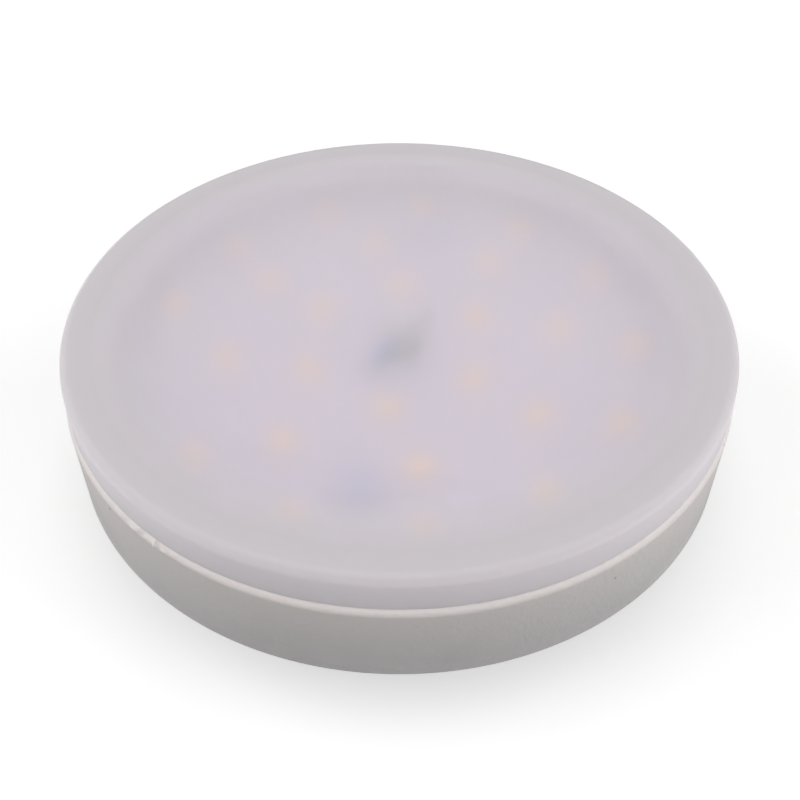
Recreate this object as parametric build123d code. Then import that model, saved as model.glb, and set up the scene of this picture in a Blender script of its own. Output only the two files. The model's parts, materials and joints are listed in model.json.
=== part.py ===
from build123d import *
import os
from math import cos, pi, radians, sin

# Flat disc lamp with two pins. A milky cover is glued on a ceramic ring, and a plastic cap with a
# hub and two mushroom pins closes the underside. The lamp stands face up on its hub. +Z points out
# of the cover, the origin is the centre of the hub's bottom face, and the pins lie on the X axis.
# All lengths are in millimetres and all angles in degrees, counted from +X towards +Y.

# Plan of the lamp, from the pins inwards to the hub and outwards to the ring's outer face
pin_spacing = 53.0
pin_to_hub = 4.5
pin_to_rim = 11.0

# Fits and gaps
slip = 0.15              # radial, between turned pieces that drop into each other
hole_gap = 0.05          # radial, round a pin or a screw in its own hole
clamp_gap = 0.2          # over the screw posts, so that the screws clamp
seat_gap = 0.2           # over a part that hangs from its leads
spigot_gap = 0.3         # under the cover's spigot
rivet_gap = 0.6          # between the pins' riveted ends and the insulating sheet
floor_gap = 0.6          # between the deepest driver part and the hub's floor
sheet_gap = 0.5          # round the insulating sheet
driver_gap = 0.4         # round the driver board in the hub
screw_play = 0.6         # radial, round the screws in the plates they clamp

# Ceramic ring
ring_wall = 2.0
ring_lip = 0.8
ring_foot_edge = 0.15
ring_mouth_edge = 0.3
shelf_width = 3.0

# Cover
cover_rise = 4.25
cover_inset = 0.3
cover_wall = 1.6
cover_edge = 1.0
cover_inner_edge = 0.6
spigot_wall = 1.4
spigot_depth = 2.8

# Base cap
flange_height = 2.4
flange_overlap = 1.35
hub_wall = 2.0
hub_floor = 1.8
hub_edge = 1.0
rib_count = 4
rib_width = 1.6
rib_reach = 1.6
rib_angle = 20.0
boss_dia = 6.4
boss_height = 1.0
post_dia = 4.4
post_beyond_hub = 0.3
gusset_length = 4.0
gusset_width = 1.4
gusset_drop = 1.0

# Pins and their tags
pin_length = 4.6
pin_head_dia = 5.0
pin_head_height = 1.6
pin_head_edge = 0.4
pin_neck_dia = 3.2
pin_collar_dia = 4.4
pin_collar_height = 0.5
rivet_dia = 4.6
rivet_height = 0.8
tag_dia = 5.6
tag_thick = 0.4
tag_width = 1.8
tag_reach = 4.5

# Plates under the lights
spreader_thick = 1.5
board_thick = 1.2
board_margin = 2.9
wire_hole_dia = 6.0
sheet_thick = 0.4

# Screws
screw_angle = 79.7
screw_dia = 2.2
screw_bite = 3.1
screw_spare = 0.6
screw_head_dia = 4.8
screw_head_height = 1.6
screw_head_edge = 0.5
drive_length = 2.6
drive_width = 0.5
drive_depth = 0.7

# Lights
led_length = 3.5
led_width = 2.8
led_height = 0.75
led_notch = 0.5
window_length = 2.7
window_width = 2.0
window_corner = 0.6
window_depth = 0.3
outer_count = 12
outer_empty_count = 1
middle_count = 8
inner_count = 6
outer_margin = 3.65
middle_beyond_halfway = 0.3
pad_to_inner = 5.6
outer_angle = 165.2
middle_angle = 142.8
inner_angle = 145.8
pattern_shift = 0.5

# Driver, with each part's place on its board as shares of the board's radius
top_room = 3.1
driver_thick = 1.0
lead_wire_dia = 0.6
lead_tail = 0.6
can_edge = 0.45
main_cap_dia = 8.0
main_cap_length = 12.0
main_cap_pitch = 4.0
main_cap_share = (-0.48, 0.0)
output_cap_dia = 5.0
output_cap_height = 7.0
output_cap_pitch = 2.5
output_cap_share = (-0.28, -0.65)
film_cap_size = (10.0, 5.0, 7.0)
film_cap_share = (0.38, -0.48)
film_cap_edge = 0.6
film_cap_pitch = 7.5
coil_core_dia = 9.0
coil_flange = 1.2
coil_drum_dia = 4.0
coil_height = 8.0
coil_wound_dia = 7.6
coil_share = (0.43, 0.41)
fuse_dia = 3.4
fuse_length = 9.0
fuse_edge = 0.55
fuse_share = (0.36, -0.08)
surge_dia = 7.0
surge_thick = 3.6
surge_edge = 0.9
surge_pitch = 3.5
surge_share = (-0.31, 0.64)
bridge_size = (4.7, 3.9, 1.5)
bridge_share = (-0.46, 0.31)
bridge_legs = 2
bridge_pitch = 2.5
bridge_leg_width = 0.9
chip_size = (4.9, 3.9, 1.5)
chip_share = (-0.41, -0.41)
chip_legs = 4
chip_pitch = 1.27
chip_leg_width = 0.45
diode_size = (4.3, 2.6, 2.1)
diode_share = (0.36, -0.41)
diode_tab = 1.4
leg_reach = 1.0
leg_thick = 0.2
small_part = (3.2, 1.6)
resistor_height = 0.6
resistor_count = 5
resistor_row_share = (0.06, 0.61)
resistor_pitch = 2.6
capacitor_height = 1.2
capacitor_count = 3
capacitor_row_share = (0.35, 0.23)
capacitor_pitch = 2.8

# Wires and solder
wire_dia = 1.1
mains_pad_inset = 2.6
mains_overlap = 1.8
mains_bend = 1.4
led_wire_offset = 1.4
led_pad_radius = 5.0
led_wire_angle = 55.8
led_wire_rise = 2.2
led_bend = 1.6
joint_dia = 2.0
joint_tip_dia = 1.4
joint_height = 0.8

# Levels from the hub's floor upwards: the driver's deepest part sets how deep the hub is
deepest_part = max(
    main_cap_dia + seat_gap, output_cap_height + seat_gap, film_cap_size[2] + seat_gap,
    fuse_dia + seat_gap, surge_dia + lead_tail, coil_height)
driver_bottom = hub_floor + floor_gap + deepest_part
driver_top = driver_bottom + driver_thick
sheet_bottom = driver_top + top_room
shelf_top = sheet_bottom + sheet_thick
tag_top = sheet_bottom - rivet_gap - rivet_height
boss_top = tag_top - tag_thick
flange_top = boss_top - boss_height
foot = flange_top - flange_height
spreader_top = shelf_top + spreader_thick
board_top = spreader_top + board_thick
spigot_bottom = spreader_top + spigot_gap
ring_top = spigot_bottom + spigot_depth
cover_top = ring_top + cover_rise
post_top = shelf_top - clamp_gap

# Radii that follow from the sizes above
pin_radius = pin_spacing / 2
ring_radius = pin_radius + pin_to_rim
mouth_radius = ring_radius - ring_wall
shelf_radius = mouth_radius - shelf_width
recess_radius = shelf_radius + flange_overlap + slip
cover_radius = ring_radius - cover_inset
spigot_radius = mouth_radius - slip
spigot_bore = spigot_radius - spigot_wall
board_radius = spigot_bore - board_margin
hub_radius = pin_radius - pin_to_hub
hub_bore = hub_radius - hub_wall
driver_radius = hub_bore - driver_gap
screw_radius = hub_radius + post_beyond_hub
outer_radius = board_radius - outer_margin
inner_radius = led_pad_radius + pad_to_inner
middle_radius = (inner_radius + outer_radius) / 2 + middle_beyond_halfway

SAME = 1e-4
ON_FLOOR = (Align.CENTER, Align.CENTER, Align.MIN)
HANGING = (Align.CENTER, Align.CENTER, Align.MAX)
SIDES = {"right": 0.0, "left": 180.0}
SCREWS = {"rear": screw_angle, "front": screw_angle + 180.0}


def disc(radius, bottom, top):
    """Cylinder on the lamp's axis between two levels."""
    return Pos(0, 0, bottom) * Cylinder(radius, top - bottom, align=ON_FLOOR)


def column(at, diameter, bottom, top):
    """Upright cylinder at a place in plan, between two levels."""
    return Pos(at[0], at[1]) * disc(diameter / 2, bottom, top)


def polar(radius, angle):
    """Place in plan at a radius and an angle."""
    return (radius * cos(radians(angle)), radius * sin(radians(angle)))


def rims(solid, radius, level):
    """Full circular edges of one radius at one level."""
    circles = solid.edges().filter_by(GeomType.CIRCLE)
    return [e for e in circles if abs(e.radius - radius) < SAME and abs(e.center().Z - level) < SAME]


def wire(points, bend, name):
    """Insulated wire along straight runs joined by arcs."""
    path = FilletPolyline(*points, radius=bend)
    section = Plane(path @ 0, z_dir=path % 0) * Circle(wire_dia / 2)
    tube = sweep(section, path=path)
    expected = pi * (wire_dia / 2) ** 2 * path.length
    share = tube.volume / expected
    print(f"{name}: bend {bend:.2f}, length {path.length:.2f}, volume {share:.4f} of section times length")
    return tube


def housing_ring():
    """Ceramic ring: a shelf inside carries the plates, and the cap enters a recess below it."""
    ring = disc(ring_radius, foot, ring_top)
    ring -= disc(mouth_radius, shelf_top, ring_top)
    ring -= disc(shelf_radius, foot, shelf_top)
    ring -= disc(recess_radius, foot, flange_top)
    ring = fillet(rims(ring, ring_radius, ring_top), ring_lip)
    ring = fillet(rims(ring, ring_radius, foot), ring_foot_edge)
    return chamfer(rims(ring, mouth_radius, ring_top), ring_mouth_edge)


def diffuser_cover():
    """Milky cover: flat face, rounded edge, side wall, and a spigot inside the ring's mouth."""
    cover = disc(cover_radius, ring_top, cover_top)
    cover = fillet(rims(cover, cover_radius, cover_top), cover_edge)
    cover += disc(spigot_radius, spigot_bottom, ring_top)
    cover -= disc(spigot_bore, spigot_bottom, cover_top - cover_wall)
    return fillet(rims(cover, spigot_bore, cover_top - cover_wall), cover_inner_edge)


def base_cap():
    """Cap: a flange in the ring's recess, the hub cup, ribs for the driver, bosses and posts."""
    cap = disc(recess_radius - slip, foot, flange_top) + disc(hub_radius, 0, flange_top)
    cap = fillet(rims(cap, hub_radius, 0), hub_edge)
    cap -= disc(hub_bore, hub_floor, flange_top)
    for k in range(rib_count):
        turn = Rot(0, 0, rib_angle + k * 360.0 / rib_count)
        rib = Pos(hub_bore + hub_wall / 2, 0, hub_floor) * Box(
            rib_reach + hub_wall / 2, rib_width, driver_bottom - hub_floor,
            align=(Align.MAX, Align.CENTER, Align.MIN))
        cap += turn * rib
    for angle in SIDES.values():
        at = polar(pin_radius, angle)
        cap += column(at, boss_dia, foot, boss_top)
        cap -= column(at, pin_neck_dia + 2 * hole_gap, foot, boss_top)
    for angle in SCREWS.values():
        gusset = Pos(screw_radius, 0, foot) * Box(
            post_dia / 2 + gusset_length, gusset_width, post_top - gusset_drop - foot,
            align=(Align.MIN, Align.CENTER, Align.MIN))
        tower = column(polar(screw_radius, angle), post_dia, flange_top, post_top)
        cap += Rot(0, 0, angle) * gusset + tower
    for angle in SCREWS.values():
        hole_bottom = post_top - screw_bite - screw_spare
        cap -= column(polar(screw_radius, angle), screw_dia + 2 * hole_gap, hole_bottom, post_top)
    return cap


def contact_pin(angle):
    """Mushroom pin: head, neck through the cap, collar below it and riveted end above the tag."""
    at = polar(pin_radius, angle)
    tip = foot - pin_length
    head = column(at, pin_head_dia, tip, tip + pin_head_height)
    head = fillet(rims(head, pin_head_dia / 2, tip), pin_head_edge)
    pin = head + column(at, pin_neck_dia, tip, tag_top)
    pin += column(at, pin_collar_dia, foot - pin_collar_height, foot)
    return pin + column(at, rivet_dia, tag_top, tag_top + rivet_height)


def solder_tag(angle):
    """Tag: a flat eye round the pin and a tab towards the hub."""
    eye = column((pin_radius, 0), tag_dia, boss_top, tag_top)
    tab = Pos(pin_radius, 0, boss_top) * Box(
        tag_reach, tag_width, tag_thick, align=(Align.MAX, Align.CENTER, Align.MIN))
    hole = column((pin_radius, 0), pin_neck_dia + 2 * hole_gap, boss_top, tag_top)
    return Rot(0, 0, angle) * (eye + tab - hole)


def clamped_plate(radius, bottom, top, hole_dia):
    """Round plate with the wire hole and two holes for the screws or their posts."""
    plate = disc(radius, bottom, top) - disc(wire_hole_dia / 2, bottom, top)
    for angle in SCREWS.values():
        plate -= column(polar(screw_radius, angle), hole_dia, bottom, top)
    return plate


def board_screw(angle):
    """Pan head screw from the light board down into its post."""
    at = polar(screw_radius, angle)
    head_top = board_top + screw_head_height
    head = column(at, screw_head_dia, board_top, head_top)
    head = fillet(rims(head, screw_head_dia / 2, head_top), screw_head_edge)
    for turn in (0, 90):
        slot = Box(drive_length, drive_width, drive_depth, align=HANGING)
        head -= Pos(at[0], at[1], head_top) * Rot(0, 0, angle + turn) * slot
    return head + column(at, screw_dia, post_top - screw_bite, board_top)


def window_solid():
    """Phosphor window of one light, as it lies in the package."""
    outline = RectangleRounded(window_length, window_width, window_corner)
    return Pos(0, 0, led_height - window_depth) * extrude(outline, window_depth)


def led_package():
    """White package of one light, with one notched corner and room for its window."""
    body = Box(led_length, led_width, led_height, align=ON_FLOOR)
    upright = body.edges().filter_by(Axis.Z)
    corner = upright.sort_by(Axis.X)[-2:].sort_by(Axis.Y)[-1]
    return chamfer(corner, led_notch) - window_solid()


def led_places(radius, first_angle, count, empty_count=0):
    """Places of one ring of lights, clockwise as seen from above, with the empty places last."""
    spots = []
    for k in range(count):
        angle = first_angle - k * 360.0 / (count + empty_count)
        x, y = polar(radius, angle)
        spots.append(Pos(x - pattern_shift, y, board_top) * Rot(0, 0, angle + 90.0))
    return spots


def led_rings():
    """Packages as one piece each, and the windows of a ring as one group."""
    rings = {
        "outer": led_places(outer_radius, outer_angle, outer_count, outer_empty_count),
        "middle": led_places(middle_radius, middle_angle, middle_count),
        "inner": led_places(inner_radius, inner_angle, inner_count),
    }
    made = {}
    for ring, spots in rings.items():
        for number, spot in enumerate(spots, start=1):
            made[f"led_{ring}_{number:02d}"] = spot * led_package()
        made[f"led_window_{ring}"] = Compound([spot * window_solid() for spot in spots])
    return made


def on_driver(share):
    """Place in plan on the driver board, from shares of its radius."""
    return (share[0] * driver_radius, share[1] * driver_radius)


def tails(at, pitch, reach):
    """Pair of wire tails, a pitch apart along X, from a hanging part up to the driver board."""
    left, right = [column((at[0] + dx, at[1]), lead_wire_dia, driver_bottom - reach, driver_bottom)
                   for dx in (-pitch / 2, pitch / 2)]
    return left + right


def main_capacitor():
    """Large capacitor, lying along Y under the driver board."""
    at = on_driver(main_cap_share)
    axis_level = driver_bottom - seat_gap - main_cap_dia / 2
    can = Pos(*at, axis_level) * Rot(90, 0, 0) * Cylinder(main_cap_dia / 2, main_cap_length)
    can = fillet(can.edges().filter_by(GeomType.CIRCLE), can_edge)
    stub_y = at[1] - main_cap_length / 2 - lead_tail
    legs = []
    for dx in (-main_cap_pitch / 2, main_cap_pitch / 2):
        x = at[0] + dx
        stub = Pos(x, stub_y, axis_level) * Rot(-90, 0, 0) * Cylinder(
            lead_wire_dia / 2, 2 * lead_tail, align=ON_FLOOR)
        rise = column((x, stub_y), lead_wire_dia, axis_level - lead_wire_dia / 2, driver_bottom)
        legs.append(stub + rise)
    return can + legs


def output_capacitor():
    """Small capacitor, hanging upright from the driver board."""
    at = on_driver(output_cap_share)
    top = driver_bottom - seat_gap
    can = column(at, output_cap_dia, top - output_cap_height, top)
    can = fillet(rims(can, output_cap_dia / 2, top - output_cap_height), can_edge)
    return can + tails(at, output_cap_pitch, seat_gap)


def film_capacitor():
    """Boxed film capacitor under the driver board."""
    at = on_driver(film_cap_share)
    box = Pos(*at, driver_bottom - seat_gap) * Box(*film_cap_size, align=HANGING)
    box = fillet(box.edges().filter_by(Axis.Z), film_cap_edge)
    return box + tails(at, film_cap_pitch, seat_gap)


def inductor_core():
    """Ferrite bobbin: two flanges on a drum."""
    at = on_driver(coil_share)
    bottom = driver_bottom - coil_height
    core = column(at, coil_drum_dia, bottom, driver_bottom)
    core += column(at, coil_core_dia, bottom, bottom + coil_flange)
    return core + column(at, coil_core_dia, driver_bottom - coil_flange, driver_bottom)


def inductor_winding():
    """Copper winding between the bobbin's flanges."""
    at = on_driver(coil_share)
    bottom = driver_bottom - coil_height + coil_flange
    top = driver_bottom - coil_flange
    return column(at, coil_wound_dia, bottom, top) - column(at, coil_drum_dia, bottom, top)


def fuse_resistor():
    """Axial resistor that also serves as the fuse, lying along X."""
    at = on_driver(fuse_share)
    axis_level = driver_bottom - seat_gap - fuse_dia / 2
    body = Pos(*at, axis_level) * Rot(0, 90, 0) * Cylinder(fuse_dia / 2, fuse_length)
    body = fillet(body.edges().filter_by(GeomType.CIRCLE), fuse_edge)
    legs = []
    for way in (-1, 1):
        x = at[0] + way * (fuse_length / 2 + lead_tail)
        stub = Pos(x, at[1], axis_level) * Rot(0, -90 * way, 0) * Cylinder(
            lead_wire_dia / 2, 2 * lead_tail, align=ON_FLOOR)
        rise = column((x, at[1]), lead_wire_dia, axis_level - lead_wire_dia / 2, driver_bottom)
        legs.append(stub + rise)
    return body + legs


def surge_disc():
    """Disc shaped surge absorber, standing across Y."""
    at = on_driver(surge_share)
    centre = driver_bottom - lead_tail - surge_dia / 2
    body = Pos(*at, centre) * Rot(90, 0, 0) * Cylinder(surge_dia / 2, surge_thick)
    body = fillet(body.edges().filter_by(GeomType.CIRCLE), surge_edge)
    return body + tails(at, surge_pitch, surge_dia / 2)


def legged_package(size, share, legs, pitch, width):
    """Moulded package on the driver board with flat legs along both long sides."""
    at = on_driver(share)
    body = Pos(*at, driver_top) * Box(*size, align=ON_FLOOR)
    body = chamfer(body.faces().sort_by(Axis.Z)[-1].edges(), leg_thick)
    for k in range(legs):
        x = at[0] + (k - (legs - 1) / 2) * pitch
        body += Pos(x, at[1], driver_top) * Box(width, size[1] + 2 * leg_reach, leg_thick, align=ON_FLOOR)
    return body


def output_diode():
    """Block diode on the driver board, with a tab at each end."""
    at = on_driver(diode_share)
    body = Pos(*at, driver_top) * Box(*diode_size, align=ON_FLOOR)
    body = chamfer(body.faces().sort_by(Axis.Z)[-1].edges(), leg_thick)
    return body + Pos(*at, driver_top) * Box(
        diode_size[0] + leg_reach, diode_tab, leg_thick, align=ON_FLOOR)


def small_parts(share, count, pitch, height):
    """Row of chip parts on the driver board, centred on its place."""
    x, y = on_driver(share)
    block = Rot(0, 0, 90) * Box(*small_part, height, align=ON_FLOOR)
    return Compound([
        Pos(x + (k - (count - 1) / 2) * pitch, y, driver_top) * block for k in range(count)])


def mains_lead(side, angle):
    """Wire from a tag's tab over the hub's edge and down to the driver board."""
    level = tag_top + wire_dia / 2
    start = pin_radius - tag_reach + mains_overlap
    end = driver_radius - mains_pad_inset
    points = [(start, 0, level), (end, 0, level), (end, 0, driver_top)]
    return Rot(0, 0, angle) * wire(points, mains_bend, f"mains_lead_{side}")


def led_lead(name, angle):
    """Wire from the driver board up through the wire hole and over to its pad."""
    over = board_top + led_wire_rise
    points = [(led_wire_offset, 0, driver_top), (led_wire_offset, 0, over),
              (led_pad_radius, 0, over), (led_pad_radius, 0, board_top)]
    return Rot(0, 0, angle) * wire(points, led_bend, name)


def joint(at, level, lead):
    """Solder cone round the end of a wire."""
    cone = Pos(*at, level) * Cone(joint_dia / 2, joint_tip_dia / 2, joint_height, align=ON_FLOOR)
    return cone - lead


def build():
    """Every piece of the lamp by its name."""
    screw_hole = screw_dia + 2 * screw_play
    made = {
        "housing_ring": housing_ring(),
        "diffuser_cover": diffuser_cover(),
        "base_cap": base_cap(),
        "heat_spreader": clamped_plate(mouth_radius - slip, shelf_top, spreader_top, screw_hole),
        "led_board": clamped_plate(board_radius, spreader_top, board_top, screw_hole),
        "insulator_disc": clamped_plate(
            shelf_radius - sheet_gap, sheet_bottom, shelf_top, post_dia + 2 * sheet_gap),
        "driver_board": disc(driver_radius, driver_bottom, driver_top),
        "main_capacitor": main_capacitor(),
        "output_capacitor": output_capacitor(),
        "film_capacitor": film_capacitor(),
        "inductor_core": inductor_core(),
        "inductor_winding": inductor_winding(),
        "fuse_resistor": fuse_resistor(),
        "surge_disc": surge_disc(),
        "bridge_rectifier": legged_package(
            bridge_size, bridge_share, bridge_legs, bridge_pitch, bridge_leg_width),
        "driver_chip": legged_package(chip_size, chip_share, chip_legs, chip_pitch, chip_leg_width),
        "output_diode": output_diode(),
        "chip_resistors": small_parts(
            resistor_row_share, resistor_count, resistor_pitch, resistor_height),
        "chip_capacitors": small_parts(
            capacitor_row_share, capacitor_count, capacitor_pitch, capacitor_height),
    }
    made.update(led_rings())
    for place, angle in SCREWS.items():
        made[f"board_screw_{place}"] = board_screw(angle)

    mains_joints = []
    for side, angle in SIDES.items():
        made[f"contact_pin_{side}"] = contact_pin(angle)
        made[f"solder_tag_{side}"] = solder_tag(angle)
        lead = mains_lead(side, angle)
        made[f"mains_lead_{side}"] = lead
        tab_end = polar(pin_radius - tag_reach + joint_dia / 2, angle)
        pad = polar(driver_radius - mains_pad_inset, angle)
        mains_joints += [joint(tab_end, tag_top, lead), joint(pad, driver_top, lead)]
    made["mains_joints"] = Compound(mains_joints)

    led_joints = []
    for name, angle in {"led_lead_plus": led_wire_angle, "led_lead_minus": led_wire_angle + 180.0}.items():
        lead = led_lead(name, angle)
        made[name] = lead
        led_joints += [joint(polar(led_wire_offset, angle), driver_top, lead),
                       joint(polar(led_pad_radius, angle), board_top, lead)]
    made["led_joints"] = Compound(led_joints)
    return made


os.makedirs("parts", exist_ok=True)
for node, shape in build().items():
    export_step(shape, f"parts/{node}.step")
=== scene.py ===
"""Looks of the flat disc lamp: its finishes, its smooth turned pieces and a plain studio."""

import json
import logging
import math
from dataclasses import dataclass
from enum import Enum

import bmesh
import bpy
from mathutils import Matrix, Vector, noise


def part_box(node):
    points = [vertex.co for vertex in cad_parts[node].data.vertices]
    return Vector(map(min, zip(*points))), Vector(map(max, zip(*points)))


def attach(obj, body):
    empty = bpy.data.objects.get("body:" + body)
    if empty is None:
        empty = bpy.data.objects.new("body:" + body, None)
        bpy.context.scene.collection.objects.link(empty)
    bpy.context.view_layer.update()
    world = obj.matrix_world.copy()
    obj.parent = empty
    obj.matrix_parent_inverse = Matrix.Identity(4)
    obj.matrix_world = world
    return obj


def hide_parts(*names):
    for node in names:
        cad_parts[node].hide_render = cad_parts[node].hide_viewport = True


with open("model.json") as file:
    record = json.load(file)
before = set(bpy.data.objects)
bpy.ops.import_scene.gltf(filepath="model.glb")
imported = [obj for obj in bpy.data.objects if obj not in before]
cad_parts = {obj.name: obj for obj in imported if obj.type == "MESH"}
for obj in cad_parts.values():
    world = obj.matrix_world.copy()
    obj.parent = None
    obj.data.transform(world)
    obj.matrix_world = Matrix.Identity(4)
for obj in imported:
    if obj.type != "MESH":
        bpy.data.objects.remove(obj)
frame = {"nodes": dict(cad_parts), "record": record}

MM = 0.001
LOG = logging.getLogger("lamp")
Colour = tuple[float, float, float, float]
Triple = tuple[float, float, float]
Sockets = dict[str, bpy.types.NodeSocket]


def srgb(red: int, green: int, blue: int) -> Colour:
    """Turn screen values into a linear colour.

    Args:
        red: Red as a screen shows it, 0 to 255.
        green: Green, likewise.
        blue: Blue, likewise.

    Returns:
        The linear colour, with full alpha.
    """
    shares = [v / 255 for v in (red, green, blue)]
    linear = [s / 12.92 if s <= 0.04045 else ((s + 0.055) / 1.055) ** 2.4 for s in shares]
    return (linear[0], linear[1], linear[2], 1.0)


class Bench:
    """A node tree on the bench, with short calls that add nodes and join them."""

    def __init__(self, tree: bpy.types.NodeTree) -> None:
        """Start on an emptied tree."""
        self.tree = tree
        tree.nodes.clear()

    def add(self, kind: str, values: dict[str, object] | None = None, **settings: object) -> bpy.types.Node:
        """Add one node.

        Args:
            kind: The node's type.
            values: What its sockets take: a value, or another node's output.
            **settings: The node's own options.

        Returns:
            The new node.
        """
        node = self.tree.nodes.new(kind)
        for name, value in settings.items():
            setattr(node, name, value)
        for name, value in (values or {}).items():
            self.feed(node.inputs[name], value)
        return node

    def feed(self, socket: bpy.types.NodeSocket, value: object) -> None:
        """Give a socket a plain value, or join another node's output to it.

        Args:
            socket: The input socket.
            value: A plain value, or another node's output.
        """
        if isinstance(value, bpy.types.NodeSocket):
            self.tree.links.new(value, socket)
        else:
            socket.default_value = value

    def work(self, kind: str, operation: str, first: object, second: object) -> bpy.types.NodeSocket:
        """Add a node that works one result out of two inputs.

        Args:
            kind: The node's type.
            operation: What it does with them.
            first: Its first input, a value or a socket.
            second: Its second input, likewise.

        Returns:
            The result's socket.
        """
        node = self.add(kind, operation=operation)
        self.feed(node.inputs[0], first)
        self.feed(node.inputs[1], second)
        return node.outputs[0]

    def mix(self, mask: object, under: object, over: object) -> bpy.types.NodeSocket:
        """Lay one colour over another where a mask is high.

        Args:
            mask: Share of the upper colour, a value or a socket.
            under: Colour where the mask is 0.
            over: Colour where the mask is 1.

        Returns:
            The mixed colour.
        """
        node = self.add("ShaderNodeMix", data_type="RGBA")
        # The sockets go by number, because their names repeat for each type of data.
        share, first, second, result = 0, 6, 7, 2
        self.feed(node.inputs[share], mask)
        self.feed(node.inputs[first], under)
        self.feed(node.inputs[second], over)
        return node.outputs[result]

    def span(self, value: object, low: float, high: float, start: float = 0.0,
             end: float = 1.0) -> bpy.types.NodeSocket:
        """Stretch a value from one range to another, and hold it there.

        Args:
            value: The socket to stretch.
            low: Result at the range's start.
            high: Result at the range's end.
            start: Where the range starts.
            end: Where the range ends.

        Returns:
            The stretched value.
        """
        node = self.add("ShaderNodeMapRange", {
            "Value": value, "From Min": start, "From Max": end, "To Min": low, "To Max": high})
        return node.outputs[0]


class Pattern(Enum):
    """Surface patterns that several finishes share, each one a node group."""

    MOTTLE = "soft_mottle"
    SPECKS = "scattered_specks"
    BRUSH = "brushed_lines"


class PatternShelf:
    """Builds each shared pattern once and puts it into finishes."""

    noise_low = 0.3
    noise_high = 0.7

    def __init__(self) -> None:
        """Start with no pattern built."""
        self.groups: dict[Pattern, bpy.types.NodeTree] = {}

    def place(self, bench: Bench, pattern: Pattern, values: dict[str, object]) -> bpy.types.Node:
        """Put a pattern into a finish.

        Args:
            bench: The finish's tree.
            pattern: Which pattern.
            values: What the pattern's inputs take.

        Returns:
            The group node, with the pattern's masks as outputs.
        """
        if pattern not in self.groups:
            makers = {Pattern.MOTTLE: self.mottle, Pattern.SPECKS: self.specks, Pattern.BRUSH: self.brush}
            self.groups[pattern] = makers[pattern]()
        node = bench.tree.nodes.new("ShaderNodeGroup")
        node.node_tree = self.groups[pattern]
        for name, value in values.items():
            bench.feed(node.inputs[name], value)
        return node

    @staticmethod
    def group(pattern: Pattern, inputs: dict[str, float],
              outputs: list[str]) -> tuple[Bench, Sockets, Sockets]:
        """Open a new group.

        Args:
            pattern: Which pattern it will be.
            inputs: Its number inputs with their defaults. It always has a Vector too.
            outputs: Its value outputs.

        Returns:
            The group's bench, its inputs by name and its output sockets by name.
        """
        tree = bpy.data.node_groups.new(pattern.value, "ShaderNodeTree")
        bench = Bench(tree)
        tree.interface.new_socket("Vector", in_out="INPUT", socket_type="NodeSocketVector")
        for name, default in inputs.items():
            socket = tree.interface.new_socket(name, in_out="INPUT", socket_type="NodeSocketFloat")
            socket.default_value = default
        for name in outputs:
            tree.interface.new_socket(name, in_out="OUTPUT", socket_type="NodeSocketFloat")
        source = bench.add("NodeGroupInput")
        sink = bench.add("NodeGroupOutput")
        return bench, {s.name: s for s in source.outputs}, {s.name: s for s in sink.inputs}

    def full_noise(self, bench: Bench, values: dict[str, object]) -> bpy.types.NodeSocket:
        """Add noise whose usual range is stretched to 0 to 1.

        Args:
            bench: The group's tree.
            values: What the noise's sockets take.

        Returns:
            The stretched noise.
        """
        texture = bench.add("ShaderNodeTexNoise", values)
        return bench.span(texture.outputs[0], 0.0, 1.0, self.noise_low, self.noise_high)

    def mottle(self) -> bpy.types.NodeTree:
        """Build broad clouds and a fine grain.

        Returns:
            The group's tree.
        """
        bench, ins, outs = self.group(Pattern.MOTTLE, {"Cloud Scale": 60.0, "Grain Scale": 2000.0},
                                      ["Cloud", "Grain"])
        for name in ("Cloud", "Grain"):
            bench.feed(outs[name], self.full_noise(bench, {
                "Vector": ins["Vector"], "Scale": ins[f"{name} Scale"], "Detail": 3.0, "Roughness": 0.55}))
        return bench.tree

    def specks(self) -> bpy.types.NodeTree:
        """Build sparse small round specks of uneven strength.

        Returns:
            The group's tree.
        """
        bench, ins, outs = self.group(Pattern.SPECKS, {"Scale": 300.0, "Size": 0.2, "Share": 0.2}, ["Specks"])
        cells = bench.add("ShaderNodeTexVoronoi", {"Vector": ins["Vector"], "Scale": ins["Scale"]})
        draw = bench.add("ShaderNodeSeparateColor", {"Color": cells.outputs["Color"]})
        spot = bench.work("ShaderNodeMath", "LESS_THAN", cells.outputs["Distance"], ins["Size"])
        chosen = bench.work("ShaderNodeMath", "LESS_THAN", draw.outputs["Red"], ins["Share"])
        both = bench.work("ShaderNodeMath", "MULTIPLY", spot, chosen)
        bench.feed(outs["Specks"], bench.work("ShaderNodeMath", "MULTIPLY", both, draw.outputs["Green"]))
        return bench.tree

    def brush(self) -> bpy.types.NodeTree:
        """Build fine lines along X, as a rolled or brushed metal has.

        Returns:
            The group's tree.
        """
        bench, ins, outs = self.group(Pattern.BRUSH, {"Scale": 900.0, "Stretch": 0.03}, ["Lines"])
        squeeze = bench.add("ShaderNodeCombineXYZ", {"X": ins["Stretch"], "Y": 1.0, "Z": 1.0})
        drawn = bench.work("ShaderNodeVectorMath", "MULTIPLY", ins["Vector"], squeeze.outputs[0])
        bench.feed(outs["Lines"], self.full_noise(bench, {
            "Vector": drawn, "Scale": ins["Scale"], "Detail": 4.0, "Roughness": 0.6}))
        return bench.tree


PATTERNS = PatternShelf()


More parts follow.
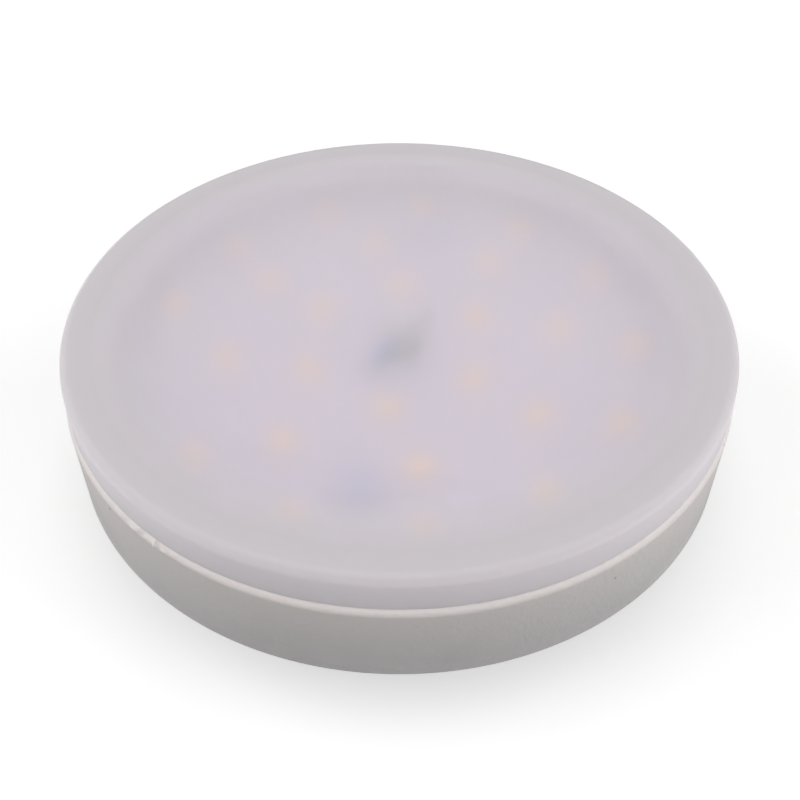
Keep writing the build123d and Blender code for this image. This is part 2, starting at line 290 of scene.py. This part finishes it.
@dataclass(frozen=True)
class Finish:
    """A mottled colour with an uneven sheen and a fine relief. Sizes are in metres."""

    name: str
    light: Colour
    dark: Colour
    roughness: float = 0.5
    uneven: float = 0.08
    cloud_size: float = 12 * MM
    grain_size: float = 0.5 * MM
    relief: float = 0.01 * MM
    metallic: float = 0.0
    ior: float = 1.5

    def material(self) -> bpy.types.Material:
        """Make the finish's material.

        Returns:
            The material.
        """
        made = bpy.data.materials.new(self.name)
        made.use_nodes = True
        bench = Bench(made.node_tree)
        place = bench.add("ShaderNodeTexCoord").outputs["Object"]
        shader = bench.add("ShaderNodeBsdfPrincipled", {"Metallic": self.metallic, "IOR": self.ior})
        mottle = PATTERNS.place(bench, Pattern.MOTTLE, {
            "Vector": place, "Cloud Scale": 1 / self.cloud_size, "Grain Scale": 1 / self.grain_size})
        bench.feed(shader.inputs["Base Color"], self.colour(bench, place, mottle))
        bench.feed(shader.inputs["Roughness"], bench.span(
            mottle.outputs["Grain"], self.roughness - self.uneven, self.roughness + self.uneven))
        bump = bench.add("ShaderNodeBump", {
            "Distance": self.relief, "Height": self.height(bench, place, mottle)})
        bench.feed(shader.inputs["Normal"], bump.outputs[0])
        self.body(bench, shader)
        output = bench.add("ShaderNodeOutputMaterial")
        bench.feed(output.inputs["Surface"], shader.outputs[0])
        return made

    def colour(self, bench: Bench, place: bpy.types.NodeSocket,
               mottle: bpy.types.Node) -> bpy.types.NodeSocket:
        """Colour of the surface, from the mottle's clouds.

        Args:
            bench: The material's tree.
            place: Where the point is on the object. Not used here.
            mottle: The mottle pattern's node.

        Returns:
            The colour's socket.
        """
        return bench.mix(mottle.outputs["Cloud"], self.dark, self.light)

    def height(self, bench: Bench, place: bpy.types.NodeSocket,
               mottle: bpy.types.Node) -> bpy.types.NodeSocket:
        """Height of the relief, 0 to 1. It takes and returns what colour() does."""
        return mottle.outputs["Grain"]

    def body(self, bench: Bench, shader: bpy.types.Node) -> None:
        """Set what lies under the surface. A plain finish sets nothing."""

    @staticmethod
    def depth(bench: Bench, place: bpy.types.NodeSocket, node: str) -> bpy.types.NodeSocket:
        """Measure how far a point lies below the top of a construction node.

        Args:
            bench: The material's tree.
            place: Where the point is on the object.
            node: The construction node's name.

        Returns:
            The depth's socket, in metres.
        """
        level = bench.add("ShaderNodeSeparateXYZ", {"Vector": place}).outputs["Z"]
        return bench.work("ShaderNodeMath", "SUBTRACT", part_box(node)[1].z, level)


@dataclass(frozen=True)
class MilkyPlastic(Finish):
    """Milky plastic: blurred light comes through its plate. Its rim is dense, with painted shade on its top
    and a painted glow on its edge and side.

    The painted glows on the edge and the side set in at depths below the cover's top.
    """

    clear_share: float = 0.49
    scatter_depth: float = 1.0 * MM
    scatter_spread: Triple = (1.0, 0.97, 0.97)
    dense_from: float = 28.5 * MM
    dense_to: float = 34.0 * MM
    # Painted shade greys the rim's top, and painted glows pale its edge and its side; together they stand in
    # for light that the milky plastic carries from its top to its side.
    rim_shade: Colour = srgb(222, 217, 221)
    edge: Colour = srgb(243, 237, 242)
    edge_glow_from: float = 0.3 * MM
    edge_glow_to: float = 0.8 * MM
    side_glow: Colour = srgb(255, 239, 251)
    side_glow_from: float = 0.9 * MM
    side_glow_to: float = 1.15 * MM

    def density(self, bench: Bench, place: bpy.types.NodeSocket) -> bpy.types.NodeSocket:
        """Density of the plastic, which grows with the distance from the axis.

        Args:
            bench: The material's tree.
            place: Where the point is on the object.

        Returns:
            The density, 0 in the plate and 1 in the rim.
        """
        flat = bench.work("ShaderNodeVectorMath", "MULTIPLY", place, (1.0, 1.0, 0.0))
        reach = bench.add("ShaderNodeVectorMath", {"Vector": flat}, operation="LENGTH")
        return bench.span(reach.outputs["Value"], 0.0, 1.0, self.dense_from, self.dense_to)

    def colour(self, bench: Bench, place: bpy.types.NodeSocket,
               mottle: bpy.types.Node) -> bpy.types.NodeSocket:
        """Colour with painted shade that greys the rim, and painted glows that make it paler below the top,
        at the edge and the side.

        Args:
            bench: The material's tree.
            place: Where the point is on the object.
            mottle: The mottle pattern's node.

        Returns:
            The colour's socket.
        """
        plate = bench.mix(mottle.outputs["Cloud"], self.dark, self.light)
        # Painted shade: the rim is mixed to a greyer colour.
        rim_shaded = bench.mix(self.density(bench, place), plate, self.rim_shade)
        depth = self.depth(bench, place, "diffuser_cover")
        # Painted glow: the edge and then the side are mixed to paler colours.
        edge_glowed = bench.mix(bench.span(depth, 0.0, 1.0, self.edge_glow_from, self.edge_glow_to), rim_shaded, self.edge)
        return bench.mix(bench.span(depth, 0.0, 1.0, self.side_glow_from, self.side_glow_to), edge_glowed, self.side_glow)

    def body(self, bench: Bench, shader: bpy.types.Node) -> None:
        """Let part of the light through the plate, and scatter the rest under the outer surface.

        Args:
            bench: The material's tree.
            shader: The material's shader.
        """
        shader.inputs["Subsurface Radius"].default_value = self.scatter_spread
        shader.inputs["Subsurface Scale"].default_value = self.scatter_depth
        inside = bench.add("ShaderNodeNewGeometry").outputs["Backfacing"]
        bench.feed(shader.inputs["Subsurface Weight"], bench.span(inside, 1.0, 0.0))
        place = bench.add("ShaderNodeTexCoord").outputs["Object"]
        entering = bench.span(self.density(bench, place), self.clear_share, 0.0)
        through = bench.work("ShaderNodeMath", "MAXIMUM", entering, inside)
        shader.inputs["Transmission Weight"].default_value = self.clear_share
        bench.feed(shader.inputs["Transmission Weight"], through)


@dataclass(frozen=True)
class PressedCeramic(Finish):
    """White ceramic, pressed and fired: dark specks, and a painted highlight that makes the lip paler near
    its top.

    The upper colour and the lip's painted highlight set in at depths below the ring's top.
    """

    speck: Colour = srgb(150, 142, 132)
    speck_spacing: float = 2.2 * MM
    speck_size: float = 0.07
    speck_share: float = 0.3
    upper: Colour = srgb(226, 221, 219)
    upper_from: float = 7.7 * MM
    upper_to: float = 1.1 * MM
    # Painted highlight: the lip is paler where its rounded top catches the light.
    lip: Colour = srgb(241, 235, 233)
    lip_highlight_from: float = 1.0 * MM
    lip_highlight_to: float = 0.75 * MM

    def colour(self, bench: Bench, place: bpy.types.NodeSocket,
               mottle: bpy.types.Node) -> bpy.types.NodeSocket:
        """Colour with specks, which grows paler upwards and has a painted highlight that makes it palest on
        the lip.

        Args:
            bench: The material's tree.
            place: Where the point is on the object.
            mottle: The mottle pattern's node.

        Returns:
            The colour's socket.
        """
        plain = bench.mix(mottle.outputs["Cloud"], self.dark, self.light)
        depth = self.depth(bench, place, "housing_ring")
        upper = bench.mix(bench.span(depth, 1.0, 0.0, self.upper_to, self.upper_from), plain, self.upper)
        # Painted highlight: the lip is mixed to a paler colour.
        lip_highlighted = bench.mix(bench.span(depth, 1.0, 0.0, self.lip_highlight_to, self.lip_highlight_from), upper, self.lip)
        specks = PATTERNS.place(bench, Pattern.SPECKS, {
            "Vector": place, "Scale": 1 / self.speck_spacing, "Size": self.speck_size,
            "Share": self.speck_share})
        return bench.mix(specks.outputs["Specks"], lip_highlighted, self.speck)


@dataclass(frozen=True)
class BrushedMetal(Finish):
    """Metal with fine drawn lines."""

    metallic: float = 1.0
    line_scale: float = 900.0

    def colour(self, bench: Bench, place: bpy.types.NodeSocket,
               mottle: bpy.types.Node) -> bpy.types.NodeSocket:
        """Colour along the lines. It takes and returns what the plain finish's does."""
        lines = PATTERNS.place(bench, Pattern.BRUSH, {"Vector": place, "Scale": self.line_scale})
        return bench.mix(lines.outputs["Lines"], self.dark, self.light)

    def height(self, bench: Bench, place: bpy.types.NodeSocket,
               mottle: bpy.types.Node) -> bpy.types.NodeSocket:
        """Relief of the lines. It takes and returns what the plain finish's does."""
        lines = PATTERNS.place(bench, Pattern.BRUSH, {"Vector": place, "Scale": self.line_scale})
        return lines.outputs["Lines"]


@dataclass(frozen=True)
class SpeckledBoard(Finish):
    """Coated or fibrous board with small flecks of another colour."""

    fleck: Colour = srgb(120, 90, 50)
    fleck_spacing: float = 0.8 * MM
    fleck_size: float = 0.3
    fleck_share: float = 0.4

    def colour(self, bench: Bench, place: bpy.types.NodeSocket,
               mottle: bpy.types.Node) -> bpy.types.NodeSocket:
        """Colour with flecks.

        Args:
            bench: The material's tree.
            place: Where the point is on the object.
            mottle: The mottle pattern's node.

        Returns:
            The colour's socket.
        """
        plain = bench.mix(mottle.outputs["Cloud"], self.dark, self.light)
        specks = PATTERNS.place(bench, Pattern.SPECKS, {
            "Vector": place, "Scale": 1 / self.fleck_spacing, "Size": self.fleck_size,
            "Share": self.fleck_share})
        return bench.mix(specks.outputs["Specks"], plain, self.fleck)


FINISHES: dict[str, Finish] = {
    "diffuser": MilkyPlastic(
        "milky_cover", srgb(245, 243, 247), srgb(243, 241, 246), roughness=0.56, uneven=0.02,
        cloud_size=25 * MM, relief=0.002 * MM, ior=1.25),
    "ceramic": PressedCeramic(
        "pressed_ceramic", srgb(215, 211, 212), srgb(208, 204, 205), roughness=0.8, uneven=0.1,
        cloud_size=6 * MM, grain_size=0.6 * MM, relief=0.03 * MM, ior=1.35),
    "cap_plastic": Finish("moulded_cap", srgb(227, 226, 224), srgb(220, 219, 217), relief=0.015 * MM),
    "pin_metal": BrushedMetal("plated_pin", srgb(214, 208, 190), srgb(190, 184, 168), roughness=0.25),
    "tag_metal": BrushedMetal("tinned_tag", srgb(212, 208, 198), srgb(186, 182, 172), roughness=0.4),
    "solder": Finish("solder", srgb(206, 208, 212), srgb(176, 178, 184), roughness=0.3, metallic=1.0,
                     cloud_size=0.8 * MM, grain_size=0.2 * MM),
    "screw_steel": BrushedMetal("screw_steel", srgb(216, 220, 240), srgb(200, 206, 230), roughness=0.5),
    "spreader_metal": BrushedMetal("rolled_aluminium", srgb(228, 226, 226), srgb(210, 208, 208),
                                   roughness=0.6),
    "light_board": Finish("white_board_coat", srgb(214, 214, 222), srgb(206, 206, 215), roughness=0.45,
                          cloud_size=8 * MM, relief=0.006 * MM),
    "insulating_sheet": Finish("insulating_sheet", srgb(222, 223, 218), srgb(210, 211, 206),
                               roughness=0.45, relief=0.01 * MM),
    "led_package": Finish("light_package", srgb(255, 243, 220), srgb(250, 236, 210), roughness=0.4,
                          cloud_size=1.5 * MM, grain_size=0.2 * MM, relief=0.004 * MM),
    "phosphor": SpeckledBoard("phosphor", srgb(255, 218, 142), srgb(252, 206, 122), roughness=0.35,
                              cloud_size=0.6 * MM, grain_size=0.15 * MM,
                              fleck=srgb(255, 232, 160), fleck_spacing=0.15 * MM),
    "fibreboard": SpeckledBoard("fibre_driver_board", srgb(188, 152, 88), srgb(168, 132, 70),
                                roughness=0.55, cloud_size=5 * MM),
    "capacitor_sleeve": Finish("capacitor_sleeve", srgb(38, 46, 72), srgb(24, 30, 52), roughness=0.3),
    "film_box": Finish("film_box", srgb(188, 60, 40), srgb(166, 46, 30), roughness=0.35),
    "ferrite": Finish("ferrite", srgb(72, 72, 75), srgb(48, 48, 51), roughness=0.7,
                      cloud_size=1.5 * MM, grain_size=0.25 * MM, relief=0.02 * MM),
    "copper_wire": BrushedMetal("enamelled_copper", srgb(206, 112, 58), srgb(150, 72, 34), roughness=0.3),
    "fuse_coat": Finish("fuse_coat", srgb(104, 142, 116), srgb(88, 124, 100), roughness=0.45),
    "surge_coat": Finish("surge_coat", srgb(48, 92, 158), srgb(34, 72, 134), roughness=0.3),
    "chip_mould": Finish("chip_mould", srgb(52, 52, 54), srgb(38, 38, 40), roughness=0.6,
                         cloud_size=1 * MM, grain_size=0.15 * MM, relief=0.008 * MM),
    "chip_part": Finish("chip_part", srgb(156, 134, 104), srgb(136, 114, 86), roughness=0.5,
                        cloud_size=1 * MM),
    "mains_wire": Finish("mains_wire", srgb(222, 222, 218), srgb(208, 208, 204), roughness=0.4),
    "plus_wire": Finish("plus_wire", srgb(226, 225, 222), srgb(212, 211, 208), roughness=0.4),
    "minus_wire": Finish("minus_wire", srgb(104, 138, 206), srgb(88, 122, 192), roughness=0.4),
}


def node_slots() -> dict[str, str]:
    """Read which finish each construction node takes.

    Returns:
        The material slot's name by node name.
    """
    return {row["node"]: row["material_slot"] for row in frame["record"]["subparts"]}


class Wardrobe:
    """Makes each finish once and dresses pieces in it."""

    def __init__(self) -> None:
        """Start with nothing made."""
        self.made: dict[str, bpy.types.Material] = {}
        self.slots = node_slots()

    def get(self, slot: str) -> bpy.types.Material:
        """Find the material of a slot, made when it is first asked for.

        Args:
            slot: The slot's name.

        Returns:
            The material.
        """
        if slot not in self.made:
            self.made[slot] = FINISHES[slot].material()
        return self.made[slot]

    def dress_node(self, node: str) -> None:
        """Give a construction node the finish that its slot names.

        Args:
            node: The node's name.
        """
        for holder in frame["nodes"][node].material_slots:
            holder.material = self.get(self.slots[node])
        LOG.info("%s is dressed in %s", node, self.slots[node])

    def dress_piece(self, piece: bpy.types.Object, node: str) -> None:
        """Let a new piece stand for a construction node, in that node's finish.

        Args:
            piece: The finished new piece.
            node: The node that it replaces.
        """
        piece.data.materials.append(self.get(self.slots[node]))
        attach(piece, "root")
        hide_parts(node)
        LOG.info("%s stands for %s, %d faces", piece.name, node, len(piece.data.polygons))


@dataclass(frozen=True)
class Corner:
    """A corner of a turned outline. Sizes are in metres."""

    radius: float
    level: float
    rounding: float = 0.0


class Turned:
    """Turns outlines round the lamp's axis into smooth pieces."""

    steps = 720
    rounding_steps = 6
    weld = 0.0001 * MM
    crease = math.radians(32)

    @classmethod
    def mesh(cls, outline: list[Corner], closed: bool) -> bmesh.types.BMesh:
        """Round an outline's corners and spin it once round the axis.

        Args:
            outline: The outline's corners in order.
            closed: Whether the last corner joins the first. An open outline ends on the axis.

        Returns:
            The spun mesh, with its seam and poles closed.
        """
        bm = bmesh.new()
        verts = [bm.verts.new((c.radius, 0.0, c.level)) for c in outline]
        pairs = list(zip(verts, verts[1:]))
        if closed:
            pairs.append((verts[-1], verts[0]))
        for pair in pairs:
            bm.edges.new(pair)
        for corner, vert in zip(outline, verts):
            if corner.rounding:
                bmesh.ops.bevel(bm, geom=[vert], offset=corner.rounding, offset_type="OFFSET",
                                affect="VERTICES", segments=cls.rounding_steps, profile=0.5, material=-1)
        bmesh.ops.spin(bm, geom=bm.verts[:] + bm.edges[:], cent=(0, 0, 0), axis=(0, 0, 1), dvec=(0, 0, 0),
                       angle=math.tau, steps=cls.steps, use_merge=True, use_duplicate=False)
        bmesh.ops.remove_doubles(bm, verts=bm.verts, dist=cls.weld)
        bmesh.ops.recalc_face_normals(bm, faces=bm.faces)
        return bm

    @classmethod
    def piece(cls, name: str, bm: bmesh.types.BMesh) -> bpy.types.Object:
        """Turn a mesh on the bench into a shaded object.

        Args:
            name: The object's name.
            bm: The mesh, which is used up.

        Returns:
            The object, linked to the scene, at the origin.
        """
        mesh = bpy.data.meshes.new(name)
        bm.to_mesh(mesh)
        bm.free()
        mesh.shade_smooth()
        mesh.set_sharp_from_angle(angle=cls.crease)
        piece = bpy.data.objects.new(name, mesh)
        bpy.context.scene.collection.objects.link(piece)
        return piece


@dataclass(frozen=True)
class Cover:
    """Milky cover: flat face, rounded edge, side wall and a spigot inside the ring. In metres."""

    wall: float = 1.6 * MM
    spigot_slip: float = 0.15 * MM
    spigot_wall: float = 1.4 * MM
    spigot_depth: float = 2.8 * MM
    edge: float = 1.0 * MM
    inner_edge: float = 0.6 * MM
    rim_edge: float = 0.12 * MM

    def build(self, wardrobe: Wardrobe) -> bpy.types.Object:
        """Make the cover where its node is.

        Args:
            wardrobe: Where its finish comes from.

        Returns:
            The cover.
        """
        low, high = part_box("diffuser_cover")
        ring_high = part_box("housing_ring")[1]
        spigot = ring_high.x - Ring.wall - self.spigot_slip
        bore = spigot - self.spigot_wall
        seat = low.z + self.spigot_depth
        ceiling = high.z - self.wall
        outline = [
            Corner(0.0, high.z),
            Corner(high.x, high.z, self.edge),
            Corner(high.x, seat, self.rim_edge),
            Corner(spigot, seat),
            Corner(spigot, low.z, self.rim_edge),
            Corner(bore, low.z, self.rim_edge),
            Corner(bore, ceiling, self.inner_edge),
            Corner(0.0, ceiling),
        ]
        piece = Turned.piece("milky_cover", Turned.mesh(outline, closed=False))
        wardrobe.dress_piece(piece, "diffuser_cover")
        return piece


@dataclass(frozen=True)
class Unevenness:
    """Small lumps that firing leaves on a lip, larger on one stretch. Sizes are in metres."""

    everywhere: float = 0.025 * MM
    at_worst: float = 0.25 * MM
    worst_angle: float = math.radians(-130)
    worst_width: float = math.radians(6.5)
    worst_steepness: int = 4
    outward: float = 0.2
    lump: float = 0.55 * MM
    fade: float = 0.2 * MM

    def size_at(self, place: Vector) -> float:
        """Find how large the lumps are at a place round the axis.

        Args:
            place: The place.

        Returns:
            The largest displacement there.
        """
        turn = math.atan2(place.y, place.x) - self.worst_angle
        away = math.atan2(math.sin(turn), math.cos(turn)) / self.worst_width
        share = math.exp(-away ** self.worst_steepness)
        return self.everywhere + (self.at_worst - self.everywhere) * share

    def roughen(self, bm: bmesh.types.BMesh, bottom: float, inner: float) -> None:
        """Push the vertices of a lip in and out.

        Args:
            bm: The piece's mesh.
            bottom: Level where the lip starts.
            inner: Radius where the lip starts.
        """
        bm.normal_update()
        moves = {}
        for vert in bm.verts:
            rise = vert.co.z - bottom
            reach = vert.co.xy.length - inner
            share = min(1.0, max(0.0, min(rise, reach) / self.fade))
            if share > 0.0:
                lumps = (self.outward + noise.noise(vert.co / self.lump)) * self.size_at(vert.co)
                moves[vert] = vert.normal * (share * lumps)
        for vert, move in moves.items():
            vert.co += move


@dataclass(frozen=True)
class Ring:
    """Pressed ceramic ring with a shelf and a recess inside, and an uneven lip. In metres.

    The border is a narrow strip under the lip. It keeps the lip's shading off the tall wall.
    """

    wall: float = 2.0 * MM
    shelf_width: float = 3.0 * MM
    shelf_depth: float = 4.6 * MM
    recess_gap: float = 0.15 * MM
    flange_height: float = 2.4 * MM
    lip: float = 0.8 * MM
    border: float = 0.15 * MM
    foot_edge: float = 0.15 * MM
    mouth_edge: float = 0.25 * MM
    inner_edge: float = 0.15 * MM
    unevenness: Unevenness = Unevenness()

    def build(self, wardrobe: Wardrobe) -> bpy.types.Object:
        """Make the ring where its node is.

        Args:
            wardrobe: Where its finish comes from.

        Returns:
            The ring.
        """
        low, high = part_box("housing_ring")
        mouth = high.x - self.wall
        shelf = mouth - self.shelf_width
        shelf_level = high.z - self.shelf_depth
        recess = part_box("base_cap")[1].x + self.recess_gap
        recess_level = low.z + self.flange_height
        outline = [
            Corner(high.x, low.z, self.foot_edge),
            Corner(high.x, high.z - self.lip - self.border),
            Corner(high.x, high.z, self.lip),
            Corner(mouth, high.z, self.mouth_edge),
            Corner(mouth, shelf_level),
            Corner(shelf, shelf_level, self.inner_edge),
            Corner(shelf, recess_level, self.inner_edge),
            Corner(recess, recess_level),
            Corner(recess, low.z, self.inner_edge),
        ]
        bm = Turned.mesh(outline, closed=True)
        self.unevenness.roughen(bm, high.z - self.lip, high.x - self.lip)
        piece = Turned.piece("ceramic_ring", bm)
        wardrobe.dress_piece(piece, "housing_ring")
        return piece


@dataclass(frozen=True)
class SoftBox:
    """A soft lamp of the studio, aimed at the part. Sizes are in metres."""

    name: str
    place: Triple
    size: float
    brightness: float

    def hang(self, target: Vector) -> None:
        """Hang the lamp and aim it.

        Args:
            target: The point that it faces.
        """
        lamp = bpy.data.lights.new(self.name, "AREA")
        lamp.shape = "SQUARE"
        lamp.size = self.size
        lamp.energy = self.brightness * math.pi * self.size ** 2
        holder = bpy.data.objects.new(self.name, lamp)
        holder.location = self.place
        holder.rotation_euler = (target - holder.location).to_track_quat("-Z", "Y").to_euler()
        holder.visible_camera = False
        bpy.context.scene.collection.objects.link(holder)


@dataclass(frozen=True)
class Studio:
    """Pale floor, white backdrop, soft lamps and the camera. Sizes are in metres."""

    white: Colour = (1.0, 1.0, 1.0, 1.0)
    floor_radius: float = 3.0
    floor_corners: int = 96
    floor_white: Colour = srgb(250, 250, 250)
    floor_bounce: Colour = srgb(110, 110, 110)
    floor_lift: float = 0.35
    sky_light: float = 0.17
    camera_elevation: float = math.radians(43.79)
    camera_distance: float = 124.67 * MM
    lens: float = 46.125
    sensor: float = 36.0
    shift: tuple[float, float] = (0.0007, 0.003)
    nearest: float = 10 * MM
    soft_boxes: tuple[SoftBox, ...] = (
        SoftBox("box_above", (0.0, -0.35, 1.05), 0.7, 1.1),
        SoftBox("box_back", (0.0, 0.3, 1.1), 0.7, 0.55),
        SoftBox("box_front", (0.0, -1.1, 0.4), 1.0, 0.5),
        SoftBox("box_left", (-1.0, 0.0, 0.35), 1.2, 2.1),
        SoftBox("box_right", (1.0, 0.0, 0.35), 1.2, 1.5),
        SoftBox("box_corner", (0.8, -0.6, 0.35), 0.8, 1.2),
    )

    def build(self) -> None:
        """Set up the floor, the sky, the lamps and the camera."""
        self.floor()
        self.sky()
        target = Vector((0.0, 0.0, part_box("housing_ring")[0].z))
        for box in self.soft_boxes:
            box.hang(target)
        self.camera(target)
        bpy.context.scene.view_settings.view_transform = "Standard"

    @staticmethod
    def seen(bench: Bench) -> bpy.types.NodeSocket:
        """Mask what is seen straight, in a reflection or through glass.

        Args:
            bench: The material's tree.

        Returns:
            The mask, 1 where it is seen so and 0 where it only lights the part.
        """
        path = bench.add("ShaderNodeLightPath")
        total = path.outputs["Is Camera Ray"]
        for name in ("Is Glossy Ray", "Is Transmission Ray"):
            total = bench.work("ShaderNodeMath", "MAXIMUM", total, path.outputs[name])
        return total

    def floor(self) -> None:
        """Lay a pale round floor that looks white and bounces little light."""
        bm = bmesh.new()
        bmesh.ops.create_circle(bm, cap_ends=True, segments=self.floor_corners, radius=self.floor_radius)
        mesh = bpy.data.meshes.new("floor")
        bm.to_mesh(mesh)
        bm.free()
        made = bpy.data.materials.new("pale_floor")
        made.use_nodes = True
        bench = Bench(made.node_tree)
        seen = self.seen(bench)
        matt = bench.add("ShaderNodeBsdfDiffuse", {
            "Color": bench.mix(seen, self.floor_bounce, self.floor_white)})
        glow = bench.add("ShaderNodeEmission", {
            "Color": self.white, "Strength": bench.span(seen, 0.0, self.floor_lift)})
        both = bench.add("ShaderNodeAddShader")
        bench.feed(both.inputs[0], matt.outputs[0])
        bench.feed(both.inputs[1], glow.outputs[0])
        output = bench.add("ShaderNodeOutputMaterial")
        bench.feed(output.inputs["Surface"], both.outputs[0])
        mesh.materials.append(made)
        floor = bpy.data.objects.new("floor", mesh)
        bpy.context.scene.collection.objects.link(floor)

    def sky(self) -> None:
        """Give the world a soft light, and a white look."""
        world = bpy.data.worlds.new("white_room")
        world.use_nodes = True
        bpy.context.scene.world = world
        bench = Bench(world.node_tree)
        seen = self.seen(bench)
        light = bench.add("ShaderNodeBackground", {
            "Color": self.white, "Strength": bench.span(seen, self.sky_light, 1.0)})
        output = bench.add("ShaderNodeOutputWorld")
        bench.feed(output.inputs["Surface"], light.outputs[0])

    def camera(self, target: Vector) -> None:
        """Put the camera where the photographer's was.

        Args:
            target: The point on the lamp's axis that it looks at.
        """
        lens = bpy.data.cameras.new("camera")
        lens.lens = self.lens
        lens.sensor_width = self.sensor
        lens.shift_x, lens.shift_y = self.shift
        lens.clip_start = self.nearest
        holder = bpy.data.objects.new("camera", lens)
        back = self.camera_distance * math.cos(self.camera_elevation)
        up = self.camera_distance * math.sin(self.camera_elevation)
        holder.location = target + Vector((0.0, -back, up))
        holder.rotation_euler = (math.pi / 2 - self.camera_elevation, 0.0, 0.0)
        bpy.context.scene.collection.objects.link(holder)
        bpy.context.scene.camera = holder


def main() -> None:
    """Dress the lamp and set up its studio."""
    logging.basicConfig(level=logging.INFO, format="%(name)s: %(message)s")
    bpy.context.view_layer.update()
    wardrobe = Wardrobe()
    for node in wardrobe.slots:
        wardrobe.dress_node(node)
    Cover().build(wardrobe)
    Ring().build(wardrobe)
    Studio().build()


if __name__ == "__main__":
    main()
